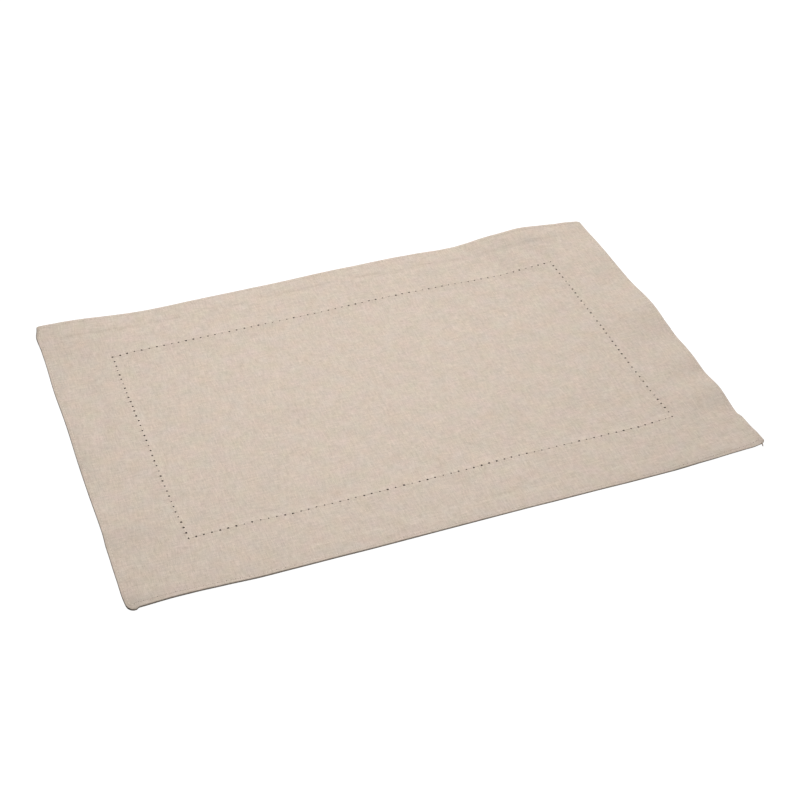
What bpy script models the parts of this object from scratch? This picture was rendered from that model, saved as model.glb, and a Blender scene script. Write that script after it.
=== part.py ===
# Fabric placemat: one cloth with a wide turned hem, lying on a table with its border lifted in soft waves.
# Metres, +Z up. The origin is at the middle of the underside, +X along the long side, +Y from front to back.
import math
from collections import namedtuple

import bmesh
import bpy

# The cloth as it lies
WIDTH = 0.450
DEPTH = 0.2976
CLOTH_THICKNESS = 0.0010
HEM_THICKNESS = 0.0013

# From each outer edge to the row of hemstitch
LEFT_HEM = 0.0505
RIGHT_HEM = 0.0485
FRONT_HEM = 0.0495
BACK_HEM = 0.0475

# The hem thins out to the single cloth over this width, just inside the hemstitch
STITCH_SLOPE = 0.0025

# The rounding of the folded edge, seen from its end
FOLD_ROUNDING = 0.0004

# Cells of the cloth's grid: across each hem, and along and across the middle
HEM_CELLS = 6
MIDDLE_COLUMNS = 34
MIDDLE_ROWS = 24
CORNER_SEGMENTS = 3

# How round each corner is, seen from above
Corner = namedtuple("Corner", "side_x side_y radius")
CORNERS = [
    Corner(-1, -1, 0.0065),
    Corner(1, -1, 0.0042),
    Corner(1, 1, 0.0035),
    Corner(-1, 1, 0.0045),
]

# How far each edge draws in from the full width or depth, at places along that edge
Draw = namedtuple("Draw", "place inset")
OUTLINE = {
    "left": [
        Draw(-0.148, 0.0003),
        Draw(-0.130, 0.0000),
        Draw(-0.080, 0.0009),
        Draw(-0.035, 0.0010),
        Draw(0.040, 0.0017),
        Draw(0.124, 0.0024),
        Draw(0.148, 0.0020),
    ],
    "right": [
        Draw(-0.148, 0.0006),
        Draw(-0.137, 0.0000),
        Draw(-0.108, 0.0020),
        Draw(-0.045, 0.0020),
        Draw(-0.010, 0.0013),
        Draw(0.020, 0.0020),
        Draw(0.090, 0.0017),
        Draw(0.148, 0.0034),
    ],
    "front": [
        Draw(-0.225, 0.0012),
        Draw(-0.196, 0.0020),
        Draw(-0.140, 0.0008),
        Draw(-0.070, 0.0003),
        Draw(0.060, 0.0005),
        Draw(0.145, 0.0000),
        Draw(0.190, 0.0008),
        Draw(0.225, 0.0012),
    ],
    "back": [
        Draw(-0.225, 0.0000),
        Draw(-0.150, 0.0006),
        Draw(-0.060, 0.0008),
        Draw(0.010, 0.0005),
        Draw(0.060, 0.0005),
        Draw(0.106, 0.0026),
        Draw(0.165, 0.0019),
        Draw(0.225, 0.0030),
    ],
}

# The waves of the border. A wave stands highest at its place on the edge. It dies away along the edge over
# its two runs, towards the lower and the higher place, and into the cloth over its reach.
Wave = namedtuple("Wave", "edge place height run_below run_above reach")
WAVES = [
    Wave("back", -0.212, 0.0053, 0.034, 0.080, 0.060),
    Wave("back", 0.014, 0.0009, 0.090, 0.072, 0.040),
    Wave("back", 0.167, 0.0052, 0.072, 0.061, 0.046),
    Wave("right", 0.020, 0.0046, 0.044, 0.042, 0.056),
    Wave("right", -0.043, 0.0023, 0.024, 0.030, 0.050),
    Wave("right", -0.083, 0.0029, 0.024, 0.025, 0.054),
    Wave("front", 0.221, 0.0015, 0.062, 0.030, 0.040),
    Wave("front", -0.188, 0.0012, 0.034, 0.050, 0.034),
    Wave("left", -0.068, 0.0017, 0.028, 0.032, 0.046),
    Wave("left", 0.006, 0.0015, 0.030, 0.034, 0.046),
]

LINEN_COLOUR = (0.62, 0.52, 0.43, 1.0)
LINEN_ROUGHNESS = 0.92


def clear_scene():
    for old in list(bpy.data.objects):
        bpy.data.objects.remove(old, do_unlink=True)


# 1 in the middle, falling smoothly to 0 at -1 and 1
def bell(t):
    if abs(t) >= 1.0:
        return 0.0
    return math.cos(t * math.pi / 2) ** 2


# 1 at the edge, falling nearly straight and then softly to 0 at the wave's reach
def slope_in(distance, reach):
    return max(1.0 - distance / reach, 0.0) ** 1.5


# The smooth value of an edge's inset at a place along it
def inset_at(draws, place):
    if place <= draws[0].place:
        return draws[0].inset
    for low, high in zip(draws, draws[1:]):
        if place <= high.place:
            share = bell((high.place - place) / (high.place - low.place))
            return low.inset + (high.inset - low.inset) * share
    return draws[-1].inset


# How far a point lies from an edge, and its place along that edge
def from_edge(edge, x, y):
    if edge == "left":
        return x + WIDTH / 2, y
    if edge == "right":
        return WIDTH / 2 - x, y
    if edge == "front":
        return y + DEPTH / 2, x
    return DEPTH / 2 - y, x


# The height of the underside above the table
def lift_at(x, y):
    lift = 0.0
    for wave in WAVES:
        distance, place = from_edge(wave.edge, x, y)
        run = wave.run_above if place > wave.place else wave.run_below
        lift += wave.height * bell((place - wave.place) / run) * slope_in(distance, wave.reach)
    return lift


# 0 on the single cloth, 1 on the doubled hem
def hem_share(x, y):
    inside = min(
        x + WIDTH / 2 - LEFT_HEM,
        WIDTH / 2 - x - RIGHT_HEM,
        y + DEPTH / 2 - FRONT_HEM,
        DEPTH / 2 - y - BACK_HEM,
    )
    return min(max(1.0 - inside / STITCH_SLOPE, 0.0), 1.0)


# The grid's lines along one side: the first hem, the slope, the middle, the slope and the last hem
def grid_lines(length, first_hem, last_hem, middle_cells):
    stretches = [
        (0.0, first_hem, HEM_CELLS),
        (first_hem, first_hem + STITCH_SLOPE, 1),
        (first_hem + STITCH_SLOPE, length - last_hem - STITCH_SLOPE, middle_cells),
        (length - last_hem - STITCH_SLOPE, length - last_hem, 1),
        (length - last_hem, length, HEM_CELLS),
    ]
    lines = [-length / 2]
    for start, end, cells in stretches:
        for step in range(cells):
            lines.append(-length / 2 + start + (end - start) * (step + 1) / cells)
    return lines


# The flat cut cloth as a closed slab as thick as the hem, with rounded corners and folded edges
def flat_cloth(bm):
    columns = grid_lines(WIDTH, LEFT_HEM, RIGHT_HEM, MIDDLE_COLUMNS)
    rows = grid_lines(DEPTH, FRONT_HEM, BACK_HEM, MIDDLE_ROWS)
    bmesh.ops.create_grid(bm, x_segments=len(columns) - 1, y_segments=len(rows) - 1, size=1.0)
    for vert in bm.verts:
        column = round((vert.co.x + 1.0) / 2 * (len(columns) - 1))
        row = round((vert.co.y + 1.0) / 2 * (len(rows) - 1))
        vert.co = (columns[column], rows[row], 0.0)
    raised = bmesh.ops.extrude_face_region(bm, geom=bm.faces[:] + bm.edges[:], use_keep_orig=True)
    top = [item for item in raised["geom"] if isinstance(item, bmesh.types.BMVert)]
    bmesh.ops.translate(bm, vec=(0.0, 0.0, HEM_THICKNESS), verts=top)
    bmesh.ops.recalc_face_normals(bm, faces=bm.faces[:])
    for corner in CORNERS:
        round_corner(bm, corner)
    rims = [edge for edge in bm.edges if is_rim(edge)]
    bmesh.ops.bevel(bm, geom=rims, offset=FOLD_ROUNDING, segments=1, profile=0.5, affect="EDGES", material=-1)


# Rounds one corner of the slab, seen from above
def round_corner(bm, corner):
    at_x = corner.side_x * WIDTH / 2
    at_y = corner.side_y * DEPTH / 2
    near = 0.0001
    upright = []
    for edge in bm.edges:
        if all(abs(vert.co.x - at_x) < near and abs(vert.co.y - at_y) < near for vert in edge.verts):
            upright.append(edge)
    bmesh.ops.bevel(
        bm, geom=upright, offset=corner.radius, segments=CORNER_SEGMENTS, profile=0.5, affect="EDGES", material=-1
    )


# An edge where the upper or lower face meets the side all round
def is_rim(edge):
    if len(edge.link_faces) != 2:
        return False
    upright = [abs(face.normal.z) < 0.5 for face in edge.link_faces]
    return upright[0] != upright[1]


# Lays the flat cloth down: draws its edges in, thins its middle and lifts its border in waves
def lay_cloth(bm):
    for vert in bm.verts:
        x, y, z = vert.co
        level = z / HEM_THICKNESS
        thickness = CLOTH_THICKNESS + (HEM_THICKNESS - CLOTH_THICKNESS) * hem_share(x, y)
        vert.co.x = x + drawn_in(x, y, "left", LEFT_HEM) - drawn_in(x, y, "right", RIGHT_HEM)
        vert.co.y = y + drawn_in(x, y, "front", FRONT_HEM) - drawn_in(x, y, "back", BACK_HEM)
        vert.co.z = lift_at(x, y) + level * thickness


# How far a point of the hem moves in from an edge: all the inset at the edge, none at the hemstitch
def drawn_in(x, y, edge, hem):
    distance, place = from_edge(edge, x, y)
    share = min(max(1.0 - distance / hem, 0.0), 1.0)
    return inset_at(OUTLINE[edge], place) * share


def linen():
    material = bpy.data.materials.new("beige_linen")
    material.use_nodes = True
    shader = material.node_tree.nodes["Principled BSDF"]
    shader.inputs["Base Color"].default_value = LINEN_COLOUR
    shader.inputs["Roughness"].default_value = LINEN_ROUGHNESS
    shader.inputs["Metallic"].default_value = 0.0
    return material


def placemat():
    mesh = bpy.data.meshes.new("placemat_cloth")
    bm = bmesh.new()
    flat_cloth(bm)
    lay_cloth(bm)
    bmesh.ops.recalc_face_normals(bm, faces=bm.faces[:])
    bm.to_mesh(mesh)
    bm.free()
    mesh.shade_smooth()
    mesh.set_sharp_from_angle(angle=math.radians(40))
    mesh.materials.append(linen())
    cloth = bpy.data.objects.new("placemat_cloth", mesh)
    bpy.context.scene.collection.objects.link(cloth)
    return cloth


clear_scene()
placemat()
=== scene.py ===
# Fabric placemat: one plain-weave linen cloth with a wide hemstitched border, its edges lying in soft waves.
# Lengths in the tables are in millimetres, angles in degrees.
import math
import random

import bmesh
import bpy
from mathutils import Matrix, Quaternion, Vector, kdtree, noise


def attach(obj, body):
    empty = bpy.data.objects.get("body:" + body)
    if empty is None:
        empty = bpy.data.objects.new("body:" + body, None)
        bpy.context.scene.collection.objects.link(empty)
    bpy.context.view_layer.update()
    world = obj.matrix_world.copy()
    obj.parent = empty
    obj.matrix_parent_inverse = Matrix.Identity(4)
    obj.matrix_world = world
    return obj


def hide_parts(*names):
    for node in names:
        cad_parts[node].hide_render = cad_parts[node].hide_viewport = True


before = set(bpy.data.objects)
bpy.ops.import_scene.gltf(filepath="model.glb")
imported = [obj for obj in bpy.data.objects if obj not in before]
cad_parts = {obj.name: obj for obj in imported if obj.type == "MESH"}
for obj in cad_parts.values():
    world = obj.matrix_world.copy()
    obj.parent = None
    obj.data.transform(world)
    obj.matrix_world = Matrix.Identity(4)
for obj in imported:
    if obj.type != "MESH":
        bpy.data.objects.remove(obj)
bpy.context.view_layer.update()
mm = 0.001
random.seed(11)

# The cloth as it lies. Each hem runs from an outer edge in to the row of hemstitch.
cloth = {
    "width": 450.0,
    "depth": 297.6,
    "leftHem": 50.5,
    "rightHem": 48.5,
    "frontHem": 49.5,
    "backHem": 47.5,
    "middleThickness": 0.65,    # one layer
    "hemThickness": 1.1,        # two layers
    "stitchSlope": 5.0,         # where the two thicknesses meet, inside the hemstitch
    "foldRounding": 0.6,        # of the folded outer edge
    "mostRounding": 0.46,       # the rounding at most, as a share of the thickness
    "foldWidth": 4.5,           # how far in the swelling of the fold reaches
    "shadeReach": 2.0,          # how far in the painted shade of the fold reaches, in roundings
    "unevenness": 0.12,         # of the face
    "unevenSpan": 34,           # from one soft rise of the face to the next
    "unevenSlice": 4.0,         # of the noise, which picks where the rises are
    "lyingLift": 0.3,           # where the cloth is lifted less than this, its underside stays flat
    "corners": [                # sideX, sideY, radius
        (-1, -1, 5.8),
        (1, -1, 3.8),
        (1, 1, 3.5),
        (-1, 1, 2.4),
    ],
}

# How much the fold of each edge swells the cloth: place along the edge, height
foldSwell = {
    "left": [
        (-148, 0.7),
        (-130, 0.6),
        (-20, 0.6),
        (0, 0.72),
        (60, 0.65),
        (75, 0.45),
        (124, 0.45),
        (136, 0.8),
    ],
    "front": [
        (-225, 0.5),
        (-60, 0.4),
        (40, 0.25),
        (165, 0.2),
        (188, -0.15),
    ],
    "right": [(0, 0.2)],
    "back": [(0, 0.1)],
}

# Painted shade on each fold, darker towards the table, and painted light where the share is below 0: place
# along the edge, share
foldShadeAndLight = {
    "left": [
        (-148, 0.8),
        (-110, 0.7),
        (60, 0.72),
        (75, 0.5),
        (124, 0.55),
        (136, 0.9),
    ],
    "front": [
        (-225, 0.02),
        (-110, -0.04),
        (-70, -0.18),
        (40, -0.26),
        (140, -0.26),
        (162, -0.16),
        (188, -0.4),
    ],
    "right": [(0, 0.3)],
    "back": [(0, 0.3)],
}

# How far each edge draws in from the full width or depth: place along the edge, inset
outline = {
    "left": [
        (-148, 0.5),
        (-134, -0.15),
        (-118, 0.1),
        (-90, 0.45),
        (-76, 1.0),
        (-40, 1.0),
        (-8, 1.05),
        (42, 1.95),
        (72, 1.65),
        (112, 2.45),
        (122, 2.35),
        (136, 1.7),
        (148, 4.1),
    ],
    "right": [
        (-148, 0.25),
        (-138, 0.3),
        (-124, 1.05),
        (-118, 1.1),
        (-114.5, 1.4),
        (-112, 2.6),
        (-100, 2.2),
        (-86, 2.15),
        (-74, 2.25),
        (-62, 1.95),
        (-46, 2.15),
        (-20, 1.35),
        (-10, 1.45),
        (2, 1.95),
        (24, 2.0),
        (54, 1.45),
        (76, 1.65),
        (96, 1.7),
        (148, 3.2),
    ],
    "front": [
        (-225, 0.6),
        (-220, 0.8),
        (-217.2, 2.3),
        (-204, 2.3),
        (-182, 1.95),
        (-162, 1.7),
        (-134, 1.0),
        (-95, 0.9),
        (-60, 0.6),
        (-10, 0.75),
        (40, 0.85),
        (70, 0.55),
        (92, 0.5),
        (122, 0.12),
        (150, 0.15),
        (178, 1.0),
        (200, 1.35),
        (213, 1.5),
        (225, 2.9),
    ],
    "back": [
        (-225, -0.7),
        (-208, 0.2),
        (-180, 0.3),
        (-155, 0.45),
        (-122, 0.6),
        (-104, 0.25),
        (-60, 0.35),
        (-30, 0.7),
        (2, 0.35),
        (28, 0.5),
        (46, 0.0),
        (62, -0.3),
        (76, 0.15),
        (106, 2.25),
        (120, 2.7),
        (136, 2.15),
        (152, 2.45),
        (166, 1.85),
        (184, 2.6),
        (198, 2.2),
        (211, 1.35),
        (225, 2.3),
    ],
}

# The border's waves: edge, place of the top, height, run to lower places, run to higher places, reach inwards
waves = [
    ("back", -212, 5.3, 60, 80, 60),
    ("back", 14, 0.9, 90, 72, 40),
    ("back", 167, 5.2, 72, 61, 46),
    ("right", 20, 4.6, 44, 42, 56),
    ("right", -43, 2.3, 24, 30, 50),
    ("right", -83, 2.9, 24, 25, 54),
    ("front", 221, 1.5, 62, 30, 40),
    ("front", -188, 1.2, 34, 50, 34),
    ("left", -68, 1.7, 28, 32, 46),
    ("left", 6, 1.5, 30, 34, 46),
]

# Soft troughs and ridges: x and y of one end, x and y of the other, width on the left of that run and on the
# right of it, height (a trough is negative)
creases = [
    (-204, 131.2, -196, 131.2, 2.4, 7.0, -0.36),
    (-180, 131.0, -150, 130.8, 2.6, 8.0, -0.52),
    (-137, 131.2, -124, 131.0, 2.6, 8.0, -0.46),
    (-119, 130.6, -115, 130.6, 2.4, 6.0, -0.30),
    (-86, 133.2, -82, 132.8, 2.4, 6.0, -0.30),
    (-78, 131.2, -68, 130.4, 2.6, 7.0, -0.48),
    (-47, 133.2, -24, 132.2, 2.6, 8.0, -0.42),
    (-20, 133.0, -3, 133.0, 2.6, 8.0, -0.44),
    (27, 133.2, 40, 132.8, 2.6, 8.0, -0.44),
    (44, 129.8, 66, 130.0, 2.6, 8.0, -0.38),
    (74, 132.2, 104, 131.0, 2.6, 8.0, -0.38),
    (109, 130.0, 126, 129.0, 2.8, 8.0, -0.34),
    (132, 130.2, 146, 129.8, 2.6, 8.0, -0.28),
    (150, 130.4, 176, 131.0, 3.0, 9.0, -0.34),
    (178, 131.0, 222, 132.0, 3.0, 9.0, -0.22),
    (-94, -132.3, 60, -132.0, 8.0, 2.4, -0.12),
    (60, -132.0, 221, -131.6, 8.0, 2.4, -0.15),
    (161.5, 137.0, 161.5, 147.0, 1.3, 1.3, 0.20),
    (112, 147.0, 136, 118.0, 6.0, 6.0, -0.35),
    (60, 30.0, 66, 2.0, 1.6, 1.6, 0.12),
]

# How far past its ends a crease dies away, in its left widths
creaseFade = 3

# Where the cloth is painted a little lighter or darker: uneven tone together with painted light and shade on
# the border: x, y, half width, half depth, share
toneAndPaintedLightSpots = [
    # Painted shade and light along the outer edges
    (0, -149, 420, 14, -0.05),
    (0, 149, 420, 15, 0.03),
    (-206, -146, 34, 14, -0.04),
    (-225, 0, 8, 300, -0.075),
    (-222, 78, 10, 60, -0.025),
    (-223, -146, 12, 22, -0.12),
    (-224, 148, 14, 14, -0.05),
    # Painted shadow under the lifted back-left corner
    (-226, 142, 5, 12, -0.42),
    (186, 141, 16, 8, 0.025),
    (150, 149, 70, 7, 0.035),
    (50, 149, 60, 6, 0.03),
    (220, 112, 12, 20, 0.045),
    (214, 60, 12, 18, 0.025),
    (-200, -86, 14, 12, -0.03),
    (-180, 84, 14, 14, -0.02),
    (-30, -129, 16, 9, 0.03),
    (92, 130, 20, 14, 0.025),
    (165, -149, 110, 9, -0.06),
    (-190, -149, 60, 9, -0.04),
    (225, -146, 12, 26, -0.09),
    (-180, -140, 18, 12, -0.03),
    (-222, 8, 16, 44, -0.045),
    (-197, 76, 14, 18, -0.035),
    (-190, 120, 24, 30, -0.03),
    (-216, -84, 28, 13, -0.04),
    (-196, 20, 16, 60, -0.015),
    (-142, 82, 18, 14, -0.025),
    (-42, 30, 18, 14, -0.04),
    (29, 31, 16, 13, -0.035),
    (-72, -2, 22, 18, -0.035),
    (64, -59, 22, 16, -0.04),
    (90, -32, 18, 16, -0.03),
    (127, -60, 26, 28, -0.025),
    (82, 123, 18, 13, -0.03),
    (54, 103, 20, 22, 0.035),
    (122, 101, 20, 22, 0.055),
    (160, 118, 22, 20, 0.03),
    (185, 147, 62, 18, 0.07),
    (118, 147, 60, 12, 0.03),
    (202, 118, 34, 44, 0.055),
    (214, -108, 22, 12, 0.05),
    (222, 4, 12, 16, 0.04),
    (190, 48, 24, 20, 0.03),
    (123, 48, 26, 22, 0.03),
    (62, 42, 36, 20, 0.02),
    (-75, -64, 34, 20, 0.025),
    (-94, -128, 30, 14, 0.025),
    (-155, -110, 20, 14, 0.02),
]

# Hemstitch: how far each hole is pulled open, 3 wide to 0 nearly shut, charted from the left or the front on
hemstitch = {
    "backRow": "33313132123322202231310013021021133123103231021211012220012312330",
    "frontRow": "2332233031113322211211221313023201213333221211011031221231322001",
    "leftRow": "23331210221330132203321233233130230223",
    "rightRow": "20323112112123332312332032032331032230",
    "radius": [0.49, 0.58, 0.69, 0.785],
    "unevenRadius": (0.86, 1.12),
    "stray": 0.12,              # of a hole from its place in the row
    "sink": 0.38,               # depth of a hole to the dark layer under it, painted shade, as a share of the thickness
    "thread": 0.30,
    "bite": 2.2,                # length of the stitch that reaches into the hem
    "unevenBite": (0.85, 1.1),
    "wrapStart": 0.8,           # where a stitch leaves its hole, as a share of the hole's radius
    "longestWrap": 7.0,         # holes farther apart than this belong to two rows
}

# How the pulled threads make each row stray from a straight one: place along it, shift in x, shift in y
drift = {
    "back": [
        (-174.5, -0.6, -0.8),
        (-158, -0.6, 0.6),
        (-131, -0.3, 0.5),
        (-98, 0.0, 0.1),
        (-60, 0.6, 0.1),
        (-20, 0.8, -0.2),
        (20, 0.8, 0.5),
        (50, 0.6, 0.5),
        (78, 0.1, -0.5),
        (105, -0.7, -1.9),
        (135, -1.0, -2.6),
        (156, -0.8, -1.0),
        (176.5, -0.8, 0.2),
    ],
    "front": [
        (-174.5, 1.7, 0.3),
        (-158, 0.6, 0.5),
        (-125, 0.0, 0.6),
        (-102, -0.5, -0.6),
        (-65, -1.3, -0.5),
        (-40, -1.3, -0.6),
        (-18, -0.7, -0.6),
        (26, 0.0, -0.2),
        (52, 0.3, 0.6),
        (85, 0.2, 0.1),
        (120, 0.6, -0.6),
        (150, 1.1, -0.9),
        (165, 1.2, 0.0),
        (176.5, 0.7, 0.9),
    ],
    "left": [
        (-99, 1.4, 0.2),
        (-83, 0.8, 0.3),
        (-70, 0.2, -0.3),
        (-50, 0.1, -0.6),
        (-32, -0.2, -1.2),
        (-7, -0.2, -0.9),
        (10, -0.2, -0.5),
        (40, -0.4, 0.0),
        (60, -0.7, -0.2),
        (80, -0.7, -0.7),
        (101, -0.6, -0.7),
    ],
    "right": [
        (-99, 1.0, 0.3),
        (-83, 0.1, -0.4),
        (-62, -0.5, -1.1),
        (-48, -0.4, -0.1),
        (-34, -0.5, 1.1),
        (-12, -0.2, 0.6),
        (14, -0.1, -0.5),
        (50, -0.3, -0.5),
        (68, -0.1, -0.6),
        (82, -0.3, 0.0),
        (101, -0.8, 0.3),
    ],
    "reach": 26,                # how far on either side of a row the cloth follows it
}


# 1 in the middle, falling smoothly to 0 at -1 and 1
def bell(t):
    if abs(t) >= 1.0:
        return 0.0
    return math.cos(t * math.pi / 2) ** 2


# 1 at the edge, falling nearly straight and then softly to 0 at a wave's reach
def slopeIn(distance, reach):
    return max(1.0 - distance / reach, 0.0) ** 1.5


# The smooth value between rows of (place, value)
def smoothValue(rows, place):
    if place <= rows[0][0]:
        return rows[0][1]
    for low, high in zip(rows, rows[1:]):
        if place <= high[0]:
            share = bell((high[0] - place) / (high[0] - low[0]))
            return low[1] + (high[1] - low[1]) * share
    return rows[-1][1]


# How far a point lies from an edge, and its place along that edge
def fromEdge(edge, x, y):
    if edge == "left":
        return x + cloth["width"] / 2, y
    if edge == "right":
        return cloth["width"] / 2 - x, y
    if edge == "front":
        return y + cloth["depth"] / 2, x
    return cloth["depth"] / 2 - y, x


# The name of the outer edge that a point is nearest to
def nearestEdge(x, y):
    return min(outline, key=lambda edge: fromEdge(edge, x, y)[0])


# The height of the underside above the table
def liftAt(x, y):
    lift = 0.0
    for edge, top, height, runBelow, runAbove, reach in waves:
        distance, place = fromEdge(edge, x, y)
        if distance < reach:
            run = runAbove if place > top else runBelow
            lift += height * bell((place - top) / run) * slopeIn(distance, reach)
    return lift


# The relief that the soft troughs and ridges add
def creaseAt(x, y):
    relief = 0.0
    for x0, y0, x1, y1, leftWidth, rightWidth, height in creases:
        alongX, alongY = x1 - x0, y1 - y0
        length = math.hypot(alongX, alongY)
        along = ((x - x0) * alongX + (y - y0) * alongY) / length
        across = ((x - x0) * alongY - (y - y0) * alongX) / length
        width = rightWidth if across > 0 else leftWidth
        past = max(-along, along - length, 0.0)
        fade = creaseFade * leftWidth
        if abs(across) < width and past < fade:
            relief += height * bell(across / width) * bell(past / fade)
    return relief


# 1 on the doubled hem, 0 on the single cloth, and between them just inside the hemstitch
def hemShare(x, y):
    inside = min(
        x + cloth["width"] / 2 - cloth["leftHem"],
        cloth["width"] / 2 - x - cloth["rightHem"],
        y + cloth["depth"] / 2 - cloth["frontHem"],
        cloth["depth"] / 2 - y - cloth["backHem"],
    )
    return bell(min(max(inside, 0.0) / cloth["stitchSlope"], 1.0))


# Rounds the corners, seen from above: square rings become round ones near each corner
def roundedCorner(x, y):
    for sideX, sideY, radius in cloth["corners"]:
        centreX = sideX * (cloth["width"] / 2 - radius)
        centreY = sideY * (cloth["depth"] / 2 - radius)
        outX, outY = (x - centreX) * sideX, (y - centreY) * sideY
        if outX > 0 and outY > 0:
            shrink = max(outX, outY) / math.hypot(outX, outY)
            return centreX + sideX * outX * shrink, centreY + sideY * outY * shrink
    return x, y


# How far a point of the hem moves in from an edge: all the inset at the edge, none at the hemstitch
def drawnIn(x, y, edge):
    distance, place = fromEdge(edge, x, y)
    share = min(1.0 - distance / cloth[edge + "Hem"], 1.0)
    return smoothValue(outline[edge], place) * share if share > 0 else 0.0


# How far the pulled threads shift a point, most of all in the hemstitch itself
def strayed(x, y):
    rows = [
        ("back", x, cloth["depth"] / 2 - cloth["backHem"] - y),
        ("front", x, y + cloth["depth"] / 2 - cloth["frontHem"]),
        ("left", y, x + cloth["width"] / 2 - cloth["leftHem"]),
        ("right", y, cloth["width"] / 2 - cloth["rightHem"] - x),
    ]
    free = 1.0
    shiftX = shiftY = 0.0
    for name, place, away in rows:
        table = drift[name]
        past = max(table[0][0] - place, place - table[-1][0], 0.0)
        share = free * bell(away / drift["reach"]) * bell(past / drift["reach"])
        if share > 0:
            shiftX += share * smoothValue([(row[0], row[1]) for row in table], place)
            shiftY += share * smoothValue([(row[0], row[2]) for row in table], place)
            free -= share
    return shiftX, shiftY


# How much the fold of the nearest edge swells the cloth
def swellAt(x, y):
    edge = nearestEdge(x, y)
    distance, place = fromEdge(edge, x, y)
    return smoothValue(foldSwell[edge], place) * bell(max(distance, 0.0) / cloth["foldWidth"])


# How light the cloth is painted at a flat place, 1 as a rule: its uneven tone with painted shade and light on
# the folds and in spots. shown is how far up the fold the place is, 0 to 1.
def toneAndPaintedLightAt(x, y, shown):
    edge = nearestEdge(x, y)
    tone = 1.0 - smoothValue(foldShadeAndLight[edge], fromEdge(edge, x, y)[1]) * (1.0 - shown)
    for atX, atY, halfWidth, halfDepth, share in toneAndPaintedLightSpots:
        tone += share * bell(math.hypot((x - atX) / halfWidth, (y - atY) / halfDepth))
    return tone


# Where a point of the flat cut cloth lies. level is 0 on the underside and 1 on the face.
def laid(x, y, level):
    edgeDistance = min(cloth["width"] / 2 - abs(x), cloth["depth"] / 2 - abs(y))
    thickness = cloth["middleThickness"] + (cloth["hemThickness"] - cloth["middleThickness"]) * hemShare(x, y)
    thickness += swellAt(x, y)
    rounding = min(cloth["foldRounding"], cloth["mostRounding"] * thickness)
    out = max(rounding - max(edgeDistance, 0.0), 0.0)
    cut = rounding - math.sqrt(max(rounding * rounding - out * out, 0.0))
    atX, atY = roundedCorner(x, y)
    lift = liftAt(atX, atY)
    softly = Vector((x / cloth["unevenSpan"], y / cloth["unevenSpan"], cloth["unevenSlice"]))
    relief = creaseAt(x, y) + cloth["unevenness"] * noise.noise(softly) * level
    if lift < cloth["lyingLift"]:
        relief *= level
    height = lift + level * (thickness - 2 * cut) + cut + relief
    shiftX, shiftY = strayed(x, y)
    return Vector((
        (atX + shiftX + drawnIn(x, y, "left") - drawnIn(x, y, "right")) * mm,
        (atY + shiftY + drawnIn(x, y, "front") - drawnIn(x, y, "back")) * mm,
        max(height, 0.0) * mm,
    ))


# Cells of the cutting grid across a hem, from the outer edge in: distance reached, cells up to there
edgeCells = [
    (0.6, 4),
    (4.0, 4),
    (11.0, 4),
    (17.0, 8),
]

# The last cells of a hem, beside its hemstitch: their width, how many there are, and how many lead up to them
stitchCells = {
    "width": 4.0,
    "within": 3,
    "before": 14,
}


# The grid's lines across one hem of the flat cloth, as distances from the outer edge
def hemLines(hem):
    lastCells = [(hem - stitchCells["width"], stitchCells["before"]), (hem, stitchCells["within"])]
    lines = [0.0]
    for reached, cells in edgeCells + lastCells:
        start = lines[-1]
        lines += [start + (reached - start) * (step + 1) / cells for step in range(cells)]
    return lines


# The grid's lines along one side of the flat cloth, fine at the folded edges and at the hemstitch
def gridLines(length, firstHem, lastHem, spaces):
    first, last = firstHem, length - lastHem
    halfSpace = (last - first) / (2 * spaces)
    lines = hemLines(firstHem)
    lines += [first + halfSpace / 2]
    lines += [first + halfSpace * step for step in range(1, 2 * spaces)]
    lines += [last - halfSpace / 2]
    lines += [length - distance for distance in reversed(hemLines(lastHem))]
    return [line - length / 2 for line in lines]


# The holes of the hemstitch on the flat cloth: x, y, how far open, and the direction towards the hem
def hemstitchHoles():
    left = -cloth["width"] / 2 + cloth["leftHem"]
    right = cloth["width"] / 2 - cloth["rightHem"]
    front = -cloth["depth"] / 2 + cloth["frontHem"]
    back = cloth["depth"] / 2 - cloth["backHem"]
    rows = [
        ("backRow", (left, back), (right, back), (0, 1)),
        ("frontRow", (left, front), (right, front), (0, -1)),
        ("leftRow", (left, front), (left, back), (-1, 0)),
        ("rightRow", (right, front), (right, back), (1, 0)),
    ]
    holes = []
    for name, start, end, outwards in rows:
        chart = hemstitch[name]
        corners = (0, len(chart) - 1) if name in ("leftRow", "rightRow") else ()
        for number, opened in enumerate(chart):
            if number not in corners:
                share = number / (len(chart) - 1)
                x = start[0] + (end[0] - start[0]) * share
                y = start[1] + (end[1] - start[1]) * share
                holes.append((x, y, int(opened), outwards))
    return holes


# The number of the line that lies nearest to a place
def nearest(lines, value):
    return min(range(len(lines)), key=lambda index: abs(lines[index] - value))


# Edges ordered by where they lie, because a set's own order changes from run to run
def inOrder(edges):
    return sorted(edges, key=lambda edge: sorted(tuple(vert.co) for vert in edge.verts))


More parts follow.
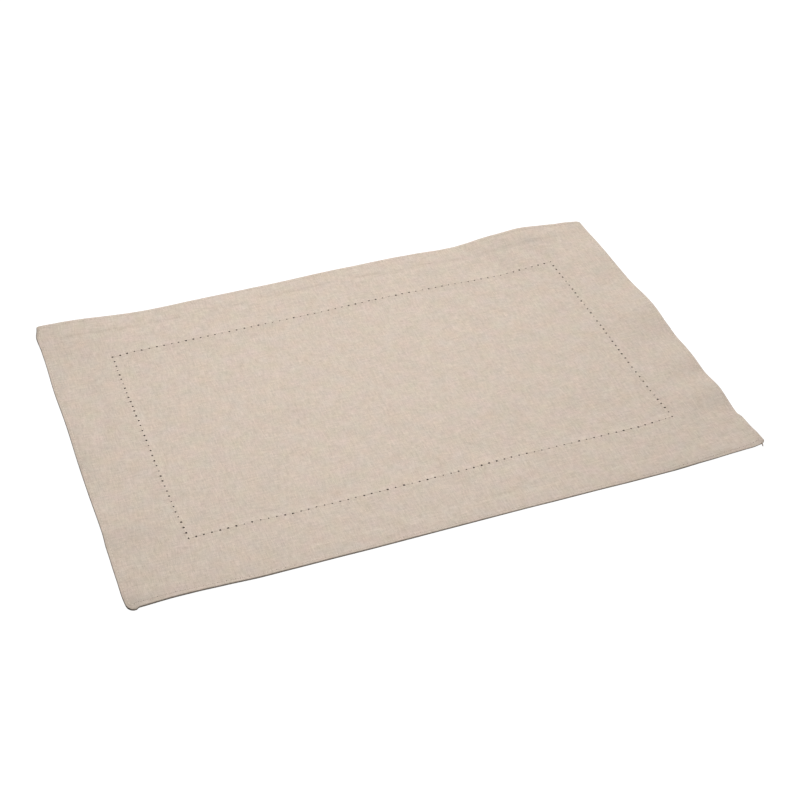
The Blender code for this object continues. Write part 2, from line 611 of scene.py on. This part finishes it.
# Opens the holes of the hemstitch at corners of the grid, round and uneven. One face closes each, to be
# sunk later.
def openHoles(bm, vertsBySize):
    centres = kdtree.KDTree(sum(len(verts) for verts in vertsBySize.values()))
    radii = []
    for size, verts in vertsBySize.items():
        for vert in verts:
            centres.insert(vert.co, len(radii))
            radii.append(hemstitch["radius"][size])
    centres.balance()
    cutFaces = []
    for size, verts in vertsBySize.items():
        opened = bmesh.ops.bevel(
            bm,
            geom=verts,
            offset=hemstitch["radius"][size],
            segments=1,
            profile=0.5,
            affect="VERTICES",
            material=-1,
        )
        fresh = set(opened["verts"])
        cutFaces += [face for face in opened["faces"] if all(vert in fresh for vert in face.verts)]
    rims = inOrder({edge for face in cutFaces for edge in face.edges})
    bmesh.ops.delete(bm, geom=cutFaces, context="FACES_ONLY")
    split = bmesh.ops.subdivide_edges(bm, edges=rims, cuts=2)["geom"]
    rims = inOrder({item for item in split if isinstance(item, bmesh.types.BMEdge) and item.is_boundary})
    rimVerts = {vert for edge in rims for vert in edge.verts}
    for vert in sorted(rimVerts, key=lambda vert: tuple(vert.co)):
        centre, number, _ = centres.find(vert.co)
        away = vert.co - centre
        away.length = radii[number] * random.uniform(*hemstitch["unevenRadius"])
        vert.co = centre + away
    return bmesh.ops.edgeloop_fill(bm, edges=rims)["faces"]


# A bmesh as a smooth-shaded object at the origin
def meshPiece(name, bm):
    mesh = bpy.data.meshes.new(name)
    bm.to_mesh(mesh)
    bm.free()
    mesh.shade_smooth()
    mesh.set_sharp_from_angle(angle=math.radians(50))
    piece = bpy.data.objects.new(name, mesh)
    bpy.context.scene.collection.objects.link(piece)
    return piece


# The cut cloth as a flat grid in millimetres. Returns the corners where holes open, by the holes' size.
def cuttingGrid(bm):
    columns = gridLines(cloth["width"], cloth["leftHem"], cloth["rightHem"], len(hemstitch["backRow"]) - 1)
    rows = gridLines(cloth["depth"], cloth["frontHem"], cloth["backHem"], len(hemstitch["leftRow"]) - 1)
    bmesh.ops.create_grid(bm, x_segments=len(columns) - 1, y_segments=len(rows) - 1, size=1.0)
    crossings = {}
    for vert in bm.verts:
        column = round((vert.co.x + 1.0) / 2 * (len(columns) - 1))
        row = round((vert.co.y + 1.0) / 2 * (len(rows) - 1))
        vert.co = (columns[column], rows[row], 0.0)
        crossings[column, row] = vert
    print("cloth: grid of", len(columns), "by", len(rows), "lines")
    vertsBySize = {size: [] for size in range(len(hemstitch["radius"]))}
    for x, y, opened, _ in hemstitchHoles():
        vert = crossings[nearest(columns, x), nearest(rows, y)]
        vert.co = (x + random.gauss(0, hemstitch["stray"]), y + random.gauss(0, hemstitch["stray"]), 0.0)
        vertsBySize[opened].append(vert)
    return vertsBySize


# Makes the flat cloth a closed slab from level 0 to level 1, the holes' faces sunk into both of its sides.
# The sunk faces and their walls keep the dark hole material: painted shade in the holes.
def thicken(bm):
    raised = bmesh.ops.extrude_face_region(bm, geom=bm.faces[:] + bm.edges[:], use_keep_orig=True)
    top = [item for item in raised["geom"] if isinstance(item, bmesh.types.BMVert)]
    bmesh.ops.translate(bm, vec=(0.0, 0.0, 1.0), verts=top)
    bmesh.ops.recalc_face_normals(bm, faces=bm.faces[:])
    holeFaces = [face for face in bm.faces if face.material_index == 1]
    sunk = bmesh.ops.extrude_discrete_faces(bm, faces=holeFaces)["faces"]
    for face in sunk:
        for vert in face.verts:
            vert.co.z += hemstitch["sink"] * (1.0 if vert.co.z < 0.5 else -1.0)
        for edge in face.edges:
            for wall in edge.link_faces:
                wall.material_index = 1


# Lays the slab down in its folds, and keeps each point's flat place and its tone with painted light and shade
# for the material
def layDown(bm):
    flatPlace = bm.loops.layers.uv.new("flatCloth")
    for face in bm.faces:
        for loop in face.loops:
            loop[flatPlace].uv = (loop.vert.co.x * mm, loop.vert.co.y * mm)
    toneAndPaintedLightLayer = bm.verts.layers.float.new("tone")
    for vert in bm.verts:
        x, y, level = vert.co
        inwards = min(cloth["width"] / 2 - abs(x), cloth["depth"] / 2 - abs(y)) / cloth["foldRounding"]
        # Round the fold the face turns into the side, which is halfway to the underside
        shown = level if inwards > 1.0 else 0.5 + (level - 0.5) * inwards
        vert[toneAndPaintedLightLayer] = toneAndPaintedLightAt(x, y, shown if inwards < cloth["shadeReach"] else 1.0)
        vert.co = laid(x, y, level)


def makeCloth():
    bm = bmesh.new()
    vertsBySize = cuttingGrid(bm)
    holeFaces = openHoles(bm, vertsBySize)
    print("cloth:", len(holeFaces), "holes opened")
    for face in holeFaces:
        face.material_index = 1
    thicken(bm)
    layDown(bm)
    bmesh.ops.recalc_face_normals(bm, faces=bm.faces[:])
    return meshPiece("clothTop", bm)


# One stitch: the points along it as shares of its length, and its shape in thread widths
stitchForm = {
    "shares": (0.0, 0.2, 0.5, 0.8, 1.0),
    "arch": 0.35,
    "sunkEnds": 0.2,
    "thinEnds": 0.6,            # the thread's width at the ends, as a share
}


# One stitch of thread along the face of the cloth from one flat place to another, sunk at its ends
def addStitch(curve, start, end, thread):
    stitch = curve.splines.new("POLY")
    stitch.points.add(len(stitchForm["shares"]) - 1)
    for point, share in zip(stitch.points, stitchForm["shares"]):
        x = start[0] + (end[0] - start[0]) * share
        y = start[1] + (end[1] - start[1]) * share
        middle = math.sin(math.pi * share)
        rise = stitchForm["arch"] * middle - stitchForm["sunkEnds"]
        point.co = (*(laid(x, y, 1.0) + Vector((0.0, 0.0, rise * thread * mm))), 1.0)
        point.radius = stitchForm["thinEnds"] + (1.0 - stitchForm["thinEnds"]) * middle


# The curve that holds a row of stitches
def threadCurve(name, thread):
    curve = bpy.data.curves.new(name, "CURVE")
    curve.dimensions = "3D"
    curve.bevel_depth = thread * mm / 2
    curve.bevel_resolution = 1
    curve.use_fill_caps = True
    return curve


# The stitches of a curve as one mesh at the origin
def stitchPiece(curve):
    drawn = bpy.data.objects.new(curve.name + "Curve", curve)
    bpy.context.scene.collection.objects.link(drawn)
    bpy.context.view_layer.update()
    mesh = bpy.data.meshes.new_from_object(drawn.evaluated_get(bpy.context.evaluated_depsgraph_get()))
    bpy.data.objects.remove(drawn, do_unlink=True)
    mesh.name = curve.name
    mesh.shade_smooth()
    piece = bpy.data.objects.new(curve.name, mesh)
    bpy.context.scene.collection.objects.link(piece)
    return piece


# The stitching close to the outer edge, and its needle holes
edgeStitch = {
    "inset": 2.6,
    "frontInset": [             # place along the front edge, inset there
        (-225, 4.8),
        (-200, 4.3),
        (-170, 3.4),
        (-140, 2.5),
        (-60, 2.3),
        (160, 2.3),
        (205, 2.8),
        (223, 4.4),
    ],
    "length": 2.2,
    "pitch": 2.95,
    "slide": 0.04,              # of a stitch along its row, as a share of the pitch
    "wander": 0.08,             # of a stitch in y
    "thread": 0.34,
    "holeRadius": 0.32,
    "unevenHole": (0.5, 1.2),
    "holeSides": 6,
    "holeLift": 0.03,           # of a hole's dark dot of painted shade above the cloth
    "show": 0.45,               # how plainly the needle holes show
    "frontShow": [              # and how plainly at places along the front edge
        (-225, 0.8),
        (-120, 0.85),
        (-95, 0.6),
        (130, 0.6),
        (155, 0.85),
        (225, 0.9),
    ],
}


# The row of stitches near each outer edge, as flat places in order, with the edge that each row follows
def edgeRows():
    halfWidth = cloth["width"] / 2 - edgeStitch["inset"]
    halfDepth = cloth["depth"] / 2 - edgeStitch["inset"]
    across = round(2 * halfWidth / edgeStitch["pitch"])
    along = round(2 * halfDepth / edgeStitch["pitch"])
    rows = {"front": [], "back": [], "left": [], "right": []}
    for number in range(across + 1):
        x = halfWidth * (2 * number / across - 1)
        rows["front"].append((x, smoothValue(edgeStitch["frontInset"], x) - cloth["depth"] / 2))
        rows["back"].append((x, halfDepth))
    for number in range(1, along):
        y = halfDepth * (2 * number / along - 1)
        rows["left"].append((-halfWidth, y))
        rows["right"].append((halfWidth, y))
    return rows


def makeEdgeStitching():
    curve = threadCurve("edgeStitching", edgeStitch["thread"])
    trim = (1.0 - edgeStitch["length"] / edgeStitch["pitch"]) / 2
    for row in edgeRows().values():
        for (x0, y0), (x1, y1) in zip(row, row[1:]):
            slide = random.uniform(-edgeStitch["slide"], edgeStitch["slide"])
            wander = random.uniform(-edgeStitch["wander"], edgeStitch["wander"])
            start = (x0 + (x1 - x0) * (trim + slide), y0 + (y1 - y0) * (trim + slide) + wander)
            end = (x1 - (x1 - x0) * (trim - slide), y1 - (y1 - y0) * (trim - slide) + wander)
            addStitch(curve, start, end, edgeStitch["thread"])
    return stitchPiece(curve)


# The cut thread end that stands off the front edge near the right corner: flat places of its ends, thickness
looseEnd = {
    "start": (221.9, -147.8),
    "end": (220.9, -151.2),
    "thread": 0.9,
}


def makeLooseThreads():
    curve = threadCurve("looseThreads", looseEnd["thread"])
    addStitch(curve, looseEnd["start"], looseEnd["end"], looseEnd["thread"])
    return stitchPiece(curve)


# The needle holes between the stitches of the outer edge, as painted shade: one mesh of small dark dots laid
# just above the face
def makeNeedleHoleShade():
    points, faces = [], []
    for edge, row in edgeRows().items():
        for x, y in row:
            show = smoothValue(edgeStitch["frontShow"], x) if edge == "front" else edgeStitch["show"]
            radius = edgeStitch["holeRadius"] * show * random.uniform(*edgeStitch["unevenHole"])
            first = len(points)
            for corner in range(edgeStitch["holeSides"]):
                turn = 2 * math.pi * corner / edgeStitch["holeSides"]
                place = laid(x + radius * math.cos(turn), y + radius * math.sin(turn), 1.0)
                points.append(place + Vector((0.0, 0.0, edgeStitch["holeLift"] * mm)))
            faces.append(range(first, len(points)))
    mesh = bpy.data.meshes.new("needleHoleShade")
    mesh.from_pydata(points, [], faces)
    piece = bpy.data.objects.new("needleHoleShade", mesh)
    bpy.context.scene.collection.objects.link(piece)
    return piece


# The wraps of the hemstitch: one from each hole into the hem, and one from each hole to the next
def makeHemstitchThread():
    curve = threadCurve("hemstitchThread", hemstitch["thread"])
    holes = hemstitchHoles()
    for x, y, opened, outwards in holes:
        bite = hemstitch["bite"] * random.uniform(*hemstitch["unevenBite"])
        near = hemstitch["radius"][opened] * hemstitch["wrapStart"]
        start = (x + outwards[0] * near, y + outwards[1] * near)
        end = (x + outwards[0] * (near + bite), y + outwards[1] * (near + bite))
        addStitch(curve, start, end, hemstitch["thread"])
    for here, following in zip(holes, holes[1:]):
        stepX, stepY = following[0] - here[0], following[1] - here[1]
        step = math.hypot(stepX, stepY)
        if step < hemstitch["longestWrap"]:
            gapHere = hemstitch["radius"][here[2]] * hemstitch["wrapStart"] / step
            gapNext = hemstitch["radius"][following[2]] * hemstitch["wrapStart"] / step
            start = (here[0] + stepX * gapHere, here[1] + stepY * gapHere)
            end = (following[0] - stepX * gapNext, following[1] - stepY * gapNext)
            addStitch(curve, start, end, hemstitch["thread"])
    return stitchPiece(curve)


# Short names for wiring a node tree
class Wiring:
    def __init__(self, tree):
        self.tree = tree

    def node(self, kind, **settings):
        made = self.tree.nodes.new(kind)
        for name, value in settings.items():
            setattr(made, name, value)
        return made

    def link(self, source, target):
        self.tree.links.new(source, target)

    # Sets sockets in order: numbers as values, anything else as a link, None not at all
    def feed(self, sockets, values):
        for socket, value in zip(sockets, values):
            if isinstance(value, (int, float, tuple)):
                socket.default_value = value
            elif value is not None:
                self.link(value, socket)

    def math(self, operation, first, second=None):
        made = self.node("ShaderNodeMath", operation=operation)
        self.feed(made.inputs, (first, second))
        return made.outputs[0]

    def vectorMath(self, operation, first, second):
        made = self.node("ShaderNodeVectorMath", operation=operation)
        self.feed(made.inputs, (first, second))
        return made.outputs[0]

    def scaled(self, vector, factor):
        made = self.node("ShaderNodeVectorMath", operation="SCALE")
        self.link(vector, made.inputs[0])
        self.link(factor, made.inputs["Scale"])
        return made.outputs[0]

    def combine(self, x, y, z=None):
        made = self.node("ShaderNodeCombineXYZ")
        self.feed(made.inputs, (x, y, z))
        return made.outputs[0]

    def noise(self, vector, scale, detail):
        made = self.node("ShaderNodeTexNoise", noise_dimensions="3D")
        made.inputs["Scale"].default_value = scale
        made.inputs["Detail"].default_value = detail
        self.link(vector, made.inputs["Vector"])
        return made.outputs["Fac"]

    # Noise drawn out along one direction of the cloth
    def streaks(self, vector, alongX, alongY):
        stretched = self.vectorMath("MULTIPLY", vector, (alongX, alongY, 1.0))
        return self.noise(stretched, scale=1.0, detail=1.0)

    # The colour between two, picked by a value from 0 to 1
    def between(self, share, first, second):
        made = self.node("ShaderNodeMix", data_type="RGBA")
        made.inputs[6].default_value = (*first, 1.0)
        made.inputs[7].default_value = (*second, 1.0)
        self.link(share, made.inputs[0])
        return made.outputs[2]

    # The first value on even crossings of the weave, the second on odd ones
    def choose(self, parity, first, second):
        made = self.node("ShaderNodeMix", data_type="FLOAT")
        self.link(parity, made.inputs["Factor"])
        self.link(first, made.inputs[2])
        self.link(second, made.inputs[3])
        return made.outputs[0]


# The yarns of the weave
weaveLook = {
    "yarnStep": 7.31,           # how far apart in the noise two neighbouring yarns read their tone
    "yarnRun": 0.09,            # how slowly the tone changes along a yarn
    "weftSlice": 5.0,           # keeps the weft's tones apart from the warp's
    "crossing": 0.6,            # how much a yarn's height depends on the yarn that it crosses
    "thinnest": 0.5,            # added to a yarn's tone to give its fullness
}


# The plain weave as a node group: yarns over and under, slubs, and yarns of slightly different tone
def plainWeave():
    group = bpy.data.node_groups.new("plainWeave", "ShaderNodeTree")
    sockets = group.interface
    sockets.new_socket("Vector", in_out="INPUT", socket_type="NodeSocketVector")
    sockets.new_socket("Yarns per metre", in_out="INPUT", socket_type="NodeSocketFloat")
    sockets.new_socket("Tone", in_out="OUTPUT", socket_type="NodeSocketFloat")
    sockets.new_socket("Height", in_out="OUTPUT", socket_type="NodeSocketFloat")
    wiring = Wiring(group)
    entry = wiring.node("NodeGroupInput")
    leave = wiring.node("NodeGroupOutput")
    split = wiring.node("ShaderNodeSeparateXYZ")
    wiring.link(wiring.scaled(entry.outputs["Vector"], entry.outputs["Yarns per metre"]), split.inputs[0])
    u, v = split.outputs[0], split.outputs[1]
    warp, weft = wiring.math("FLOOR", u), wiring.math("FLOOR", v)
    acrossWarp = wiring.math("SINE", wiring.math("MULTIPLY", wiring.math("FRACT", u), math.pi))
    acrossWeft = wiring.math("SINE", wiring.math("MULTIPLY", wiring.math("FRACT", v), math.pi))
    parity = wiring.math("MODULO", wiring.math("ABSOLUTE", wiring.math("ADD", warp, weft)), 2.0)

    # Tone along each yarn: its number picks the yarn, its length runs slowly
    warpPick = wiring.math("MULTIPLY", warp, weaveLook["yarnStep"])
    warpRun = wiring.math("MULTIPLY", v, weaveLook["yarnRun"])
    warpTone = wiring.noise(wiring.combine(warpPick, warpRun), scale=1.0, detail=2.0)
    weftPick = wiring.math("MULTIPLY", weft, weaveLook["yarnStep"])
    weftRun = wiring.math("MULTIPLY", u, weaveLook["yarnRun"])
    weftTone = wiring.noise(wiring.combine(weftRun, weftPick, weaveLook["weftSlice"]), scale=1.0, detail=2.0)

    # A yarn is round across, and highest where it crosses over the middle of another
    def yarnHeight(across, acrossOther, tone):
        crossing = wiring.math("MULTIPLY", acrossOther, weaveLook["crossing"])
        crown = wiring.math("MULTIPLY", across, wiring.math("ADD", crossing, 1.0 - weaveLook["crossing"]))
        return wiring.math("MULTIPLY", crown, wiring.math("ADD", tone, weaveLook["thinnest"]))

    warpHeight = yarnHeight(acrossWarp, acrossWeft, warpTone)
    weftHeight = yarnHeight(acrossWeft, acrossWarp, weftTone)
    wiring.link(wiring.choose(parity, warpTone, weftTone), leave.inputs["Tone"])
    wiring.link(wiring.choose(parity, warpHeight, weftHeight), leave.inputs["Height"])
    return group


linenLook = {
    "light": (0.754, 0.644, 0.549),
    "dark": (0.476, 0.394, 0.322),
    "middleTone": 0.5,
    "casts": [                  # where in the noise each is read, and the two tints that it runs between
        (0.0, (1.060, 0.982, 1.0), (0.940, 1.018, 1.0)),
        (3.0, (1.0, 0.993, 1.070), (1.0, 1.007, 0.930)),
    ],
    "castScale": 80.0,
    "yarnTone": 1.7,
    "streaks": [                # how many to the metre along x and along y, how much they change the tone
        (850.0, 190.0, 0.28),
        (700.0, 50.0, 0.23),
        (110.0, 900.0, 0.23),
    ],
    "patchScale": 60.0,
    "patchTone": 0.22,
    "yarnsPerMetre": 1900.0,
    "bump": 0.25,
    "bumpDistance": 0.00012,
    "roughness": 0.92,
    "specular": 0.2,
}


# Cloth woven of undyed linen
def linenMaterial(name, weave):
    material = bpy.data.materials.new(name)
    material.use_nodes = True
    wiring = Wiring(material.node_tree)
    shader = material.node_tree.nodes["Principled BSDF"]
    flatPlace = wiring.node("ShaderNodeUVMap", uv_map="flatCloth").outputs[0]
    woven = wiring.node("ShaderNodeGroup")
    woven.node_tree = weave
    woven.inputs["Yarns per metre"].default_value = linenLook["yarnsPerMetre"]
    wiring.link(flatPlace, woven.inputs["Vector"])

    sources = [(woven.outputs["Tone"], linenLook["yarnTone"])]
    for alongX, alongY, amount in linenLook["streaks"]:
        sources.append((wiring.streaks(flatPlace, alongX, alongY), amount))
    sources.append((wiring.noise(flatPlace, linenLook["patchScale"], detail=2.0), linenLook["patchTone"]))
    toned = linenLook["middleTone"]
    for source, amount in sources:
        part = wiring.math("MULTIPLY", wiring.math("SUBTRACT", source, 0.5), amount)
        toned = wiring.math("ADD", part, toned)
    coloured = wiring.between(toned, linenLook["dark"], linenLook["light"])

    for aside, first, second in linenLook["casts"]:
        moved = wiring.vectorMath("ADD", flatPlace, (aside, aside, 0.0))
        cast = wiring.between(wiring.noise(moved, linenLook["castScale"], detail=3.0), first, second)
        coloured = wiring.vectorMath("MULTIPLY", coloured, cast)
    # The tone attribute scales the colour: uneven tone with painted light and shade on the folds and in spots
    tone = wiring.node("ShaderNodeAttribute", attribute_name="tone")
    wiring.link(wiring.scaled(coloured, tone.outputs["Fac"]), shader.inputs["Base Color"])

    bump = wiring.node("ShaderNodeBump")
    bump.inputs["Strength"].default_value = linenLook["bump"]
    bump.inputs["Distance"].default_value = linenLook["bumpDistance"]
    wiring.link(woven.outputs["Height"], bump.inputs["Height"])
    wiring.link(bump.outputs[0], shader.inputs["Normal"])
    shader.inputs["Roughness"].default_value = linenLook["roughness"]
    shader.inputs["Specular IOR Level"].default_value = linenLook["specular"]
    return material


# Thread, and the painted shade inside the hemstitch holes and on the needle holes: colour, roughness
plainLooks = {
    "holeShade": ((0.062, 0.045, 0.034), 0.95),
    "linenThread": ((0.76, 0.66, 0.56), 0.85),
    "dullThread": ((0.30, 0.23, 0.18), 0.9),
}

# How the plain colours vary: patches to the metre, darkest and lightest share
plainGrain = {
    "scale": 1400.0,
    "darkest": 0.86,
    "lightest": 1.1,
}


def plainMaterial(name):
    colour, roughness = plainLooks[name]
    material = bpy.data.materials.new(name)
    material.use_nodes = True
    wiring = Wiring(material.node_tree)
    shader = material.node_tree.nodes["Principled BSDF"]
    coordinates = wiring.node("ShaderNodeTexCoord")
    patchy = wiring.noise(coordinates.outputs["Object"], plainGrain["scale"], detail=2.0)
    darkest = [value * plainGrain["darkest"] for value in colour]
    lightest = [value * plainGrain["lightest"] for value in colour]
    wiring.link(wiring.between(patchy, darkest, lightest), shader.inputs["Base Color"])
    shader.inputs["Roughness"].default_value = roughness
    return material


# The white floor and surroundings
surroundings = {
    "floorRadius": 9000,
    "floorSides": 64,
    "floorGrey": 0.1,
    "floorRoughness": 0.9,
    "bounceGrey": 0.15,         # of the floor as the cloth sees it
    "worldLight": 0.2155,       # strength of the surroundings as the cloth sees them
}

# Soft lamps: name, place, where they aim, width, power in watts
lamps = [
    ("overheadLight", (-47, 1, 500), (-47, 0, 0), 700, 1.88),
    ("backLight", (524, 1440, 1286), (0, 0, 0), 1200, 23.7),
]


# White to the camera. What it sends up under the cloth's edges is less than that.
def floorMaterial():
    material = bpy.data.materials.new("paleFloor")
    material.use_nodes = True
    nodes = material.node_tree.nodes
    shader = nodes["Principled BSDF"]
    shader.inputs["Base Color"].default_value = (*[surroundings["floorGrey"]] * 3, 1.0)
    shader.inputs["Roughness"].default_value = surroundings["floorRoughness"]
    shader.inputs["Emission Color"].default_value = (1.0, 1.0, 1.0, 1.0)
    shader.inputs["Emission Strength"].default_value = 1.0
    wiring = Wiring(material.node_tree)
    dim = wiring.node("ShaderNodeBsdfDiffuse")
    dim.inputs["Color"].default_value = (*[surroundings["bounceGrey"]] * 3, 1.0)
    mixed = wiring.node("ShaderNodeMixShader")
    path = wiring.node("ShaderNodeLightPath")
    wiring.link(path.outputs["Is Camera Ray"], mixed.inputs[0])
    wiring.link(dim.outputs[0], mixed.inputs[1])
    wiring.link(shader.outputs[0], mixed.inputs[2])
    wiring.link(mixed.outputs[0], nodes["Material Output"].inputs["Surface"])
    return material


def makeFloor():
    bm = bmesh.new()
    bmesh.ops.create_circle(
        bm,
        cap_ends=True,
        segments=surroundings["floorSides"],
        radius=surroundings["floorRadius"] * mm,
    )
    floor = meshPiece("floor", bm)
    floor.data.materials.append(floorMaterial())


# White to the camera, and dimmer as a light on the cloth
def makeWorld():
    world = bpy.data.worlds.new("studio")
    world.use_nodes = True
    background = world.node_tree.nodes["Background"]
    background.inputs["Color"].default_value = (1.0, 1.0, 1.0, 1.0)
    wiring = Wiring(world.node_tree)
    path = wiring.node("ShaderNodeLightPath")
    worldLight = surroundings["worldLight"]
    seen = wiring.math("MULTIPLY", path.outputs["Is Camera Ray"], 1.0 - worldLight)
    wiring.link(wiring.math("ADD", seen, worldLight), background.inputs["Strength"])
    bpy.context.scene.world = world


def makeLamps():
    for name, at, towards, width, energy in lamps:
        light = bpy.data.lights.new(name, "AREA")
        light.shape = "DISK"
        light.size = width * mm
        light.energy = energy
        lamp = bpy.data.objects.new(name, light)
        lamp.location = Vector(at) * mm
        lamp.rotation_mode = "QUATERNION"
        lamp.rotation_quaternion = (Vector(towards) - Vector(at)).to_track_quat("-Z", "Y")
        bpy.context.scene.collection.objects.link(lamp)


camera = {
    "target": (4.68, -14.9, 0.0),
    "distance": 1181.1,
    "azimuth": -21.42,
    "elevation": 39.94,
    "roll": 0.904,
    "lens": 74.97,
    "sensor": 36.0,
    "nearest": 10,
    "farthest": 60000,
}


def makeCamera():
    azimuth, elevation = math.radians(camera["azimuth"]), math.radians(camera["elevation"])
    back = Vector((
        math.sin(azimuth) * math.cos(elevation),
        -math.cos(azimuth) * math.cos(elevation),
        math.sin(elevation),
    ))
    data = bpy.data.cameras.new("camera")
    data.sensor_width = camera["sensor"]
    data.lens = camera["lens"]
    data.clip_start = camera["nearest"] * mm
    data.clip_end = camera["farthest"] * mm
    view = bpy.data.objects.new("camera", data)
    view.location = (Vector(camera["target"]) + back * camera["distance"]) * mm
    view.rotation_mode = "QUATERNION"
    level = (-back).to_track_quat("-Z", "Y")
    view.rotation_quaternion = level @ Quaternion((0, 0, 1), math.radians(camera["roll"]))
    bpy.context.scene.collection.objects.link(view)
    bpy.context.scene.camera = view


makeCamera()
makeFloor()
makeWorld()
makeLamps()
bpy.context.scene.view_settings.view_transform = "Standard"
print("stage set")

linen = linenMaterial("linen", plainWeave())
shade = plainMaterial("holeShade")
thread = plainMaterial("linenThread")
dullThread = plainMaterial("dullThread")

clothPiece = makeCloth()
clothPiece.data.materials.append(linen)
clothPiece.data.materials.append(shade)
print("cloth laid")
stitching = makeEdgeStitching()
stitching.data.materials.append(thread)
hemThread = makeHemstitchThread()
hemThread.data.materials.append(thread)
looseThreads = makeLooseThreads()
looseThreads.data.materials.append(dullThread)
needleHoleShade = makeNeedleHoleShade()
needleHoleShade.data.materials.append(shade)
print("stitches laid")

for piece in (clothPiece, stitching, looseThreads, hemThread, needleHoleShade):
    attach(piece, "root")
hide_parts("placemat_cloth")
